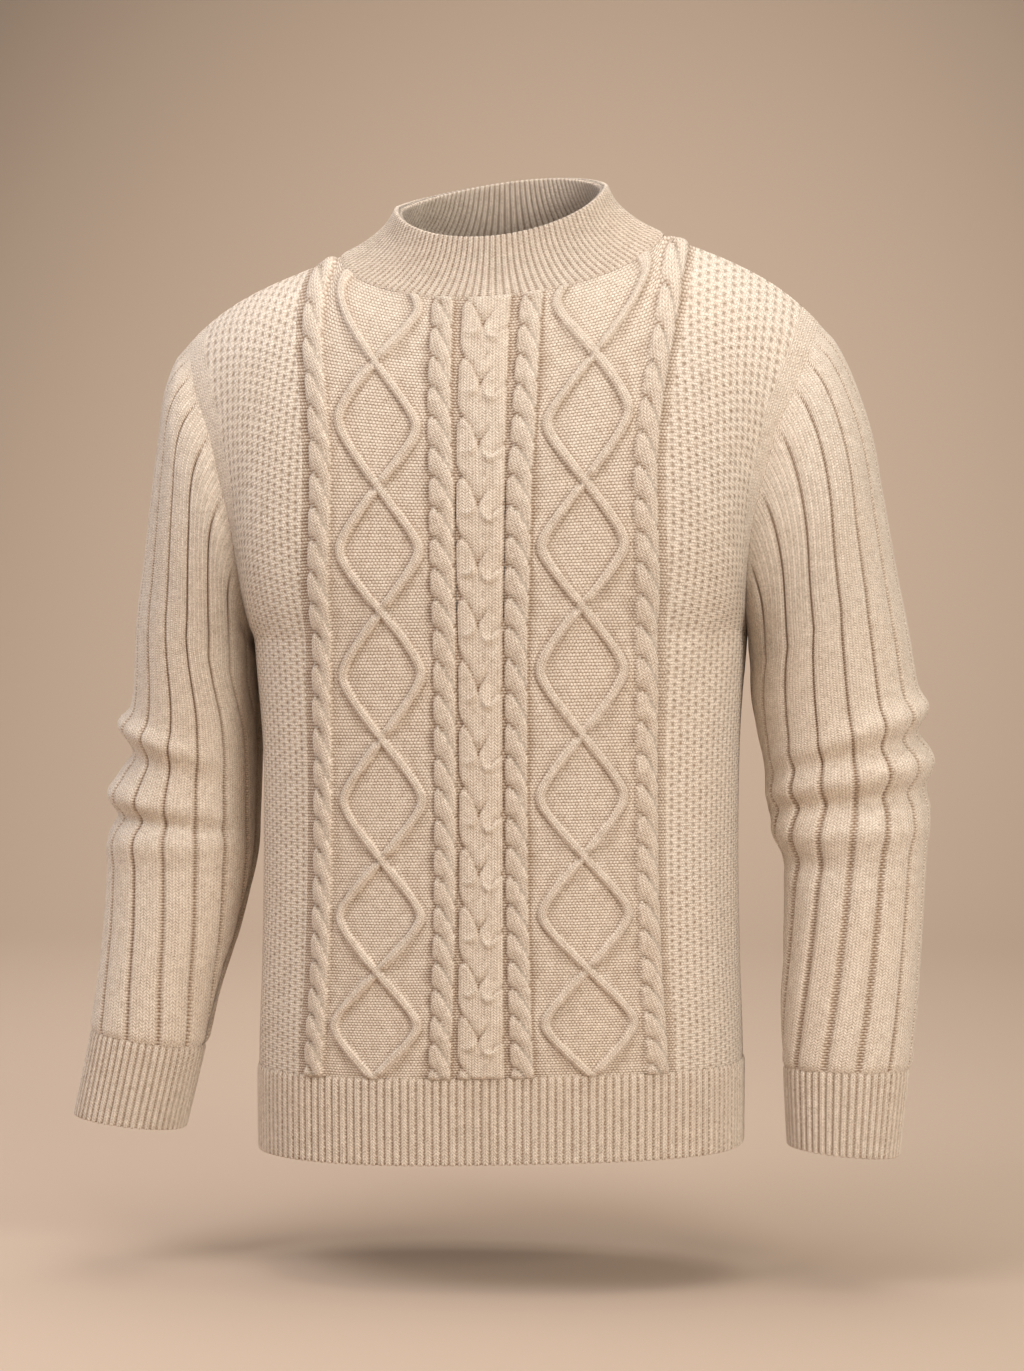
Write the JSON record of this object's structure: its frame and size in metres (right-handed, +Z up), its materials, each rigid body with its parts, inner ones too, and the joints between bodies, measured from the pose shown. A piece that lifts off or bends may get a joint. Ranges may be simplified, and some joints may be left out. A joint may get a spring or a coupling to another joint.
{
  "type": "cable knit sweater",
  "caption": "Long-sleeved mock-neck sweater in cream cable knit, filled out as worn, with ribbed collar, cuffs and hem and open neck, cuffs and hem.",
  "frame": {"origin": "on the shoulders, midway between the two high points of the neckline, where the wearer carries the garment", "axes": "+Z up along the body; the front faces -Y; +X is to the right as one looks at the front, so the wearer's left"},
  "size_m": [0.668, 0.2544, 0.7596],
  "materials": {
    "front_yarn": "cream yarn, cables, plait and diamond lattice over purl, moss stitch at the sides",
    "back_yarn": "cream yarn, moss stitch",
    "sleeve_left_yarn": "cream yarn, wide flat ribs with narrow grooves",
    "sleeve_right_yarn": "cream yarn, wide flat ribs with narrow grooves",
    "collar_yarn": "cream yarn, one by one rib, folded double",
    "hem_yarn": "cream yarn, one by one rib",
    "cuff_left_yarn": "cream yarn, one by one rib",
    "cuff_right_yarn": "cream yarn, one by one rib"
  },
  "bodies": {
    "root": {"front": "front_yarn", "back": "back_yarn", "sleeve_left": "sleeve_left_yarn", "sleeve_right": "sleeve_right_yarn", "collar": "collar_yarn", "hem_rib": "hem_yarn", "cuff_left": "cuff_left_yarn", "cuff_right": "cuff_right_yarn"}
  },
  "joints": []
}
